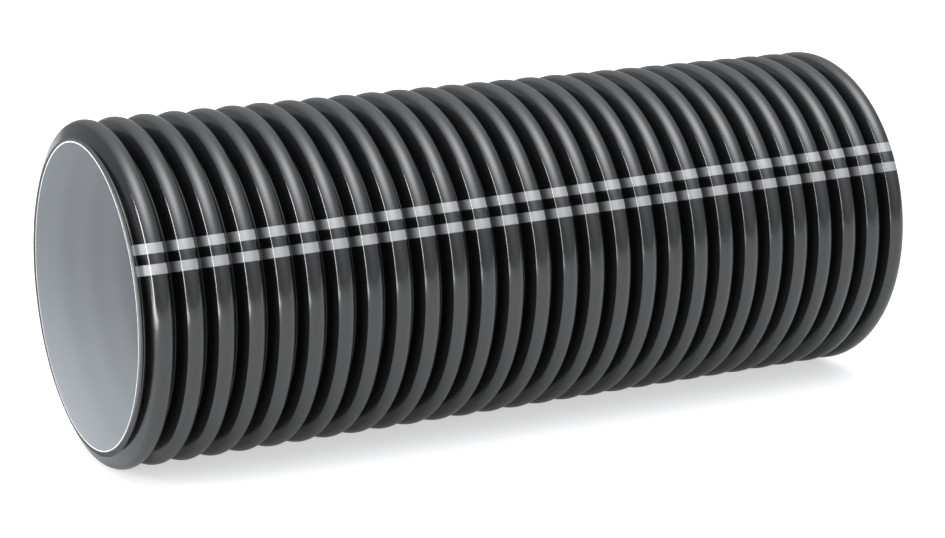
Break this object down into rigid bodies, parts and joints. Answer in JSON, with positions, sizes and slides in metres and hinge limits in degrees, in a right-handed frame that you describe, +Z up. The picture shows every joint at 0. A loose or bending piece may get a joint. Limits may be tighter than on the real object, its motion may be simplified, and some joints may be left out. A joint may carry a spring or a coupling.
{
  "type": "corrugated drainage pipe length",
  "caption": "Short straight length of twin-wall drainage pipe: a ribbed black outer wall with hollow ribs, welded to a smooth light grey liner.",
  "frame": {"origin": "on the ground plane, under the middle of the pipe as it lies", "axes": "+X along the pipe from the end the camera sees to the far end, +Z up, +Y away from the camera's side"},
  "size_m": [0.507, 0.2, 0.1999],
  "materials": {
    "wall_plastic": "satin black extruded plastic with two thin grey stripes along one side",
    "liner_plastic": "smooth light grey extruded plastic with a soft gloss"
  },
  "bodies": {
    "root": {"outer_wall": "wall_plastic", "inner_liner": "liner_plastic"}
  },
  "joints": []
}
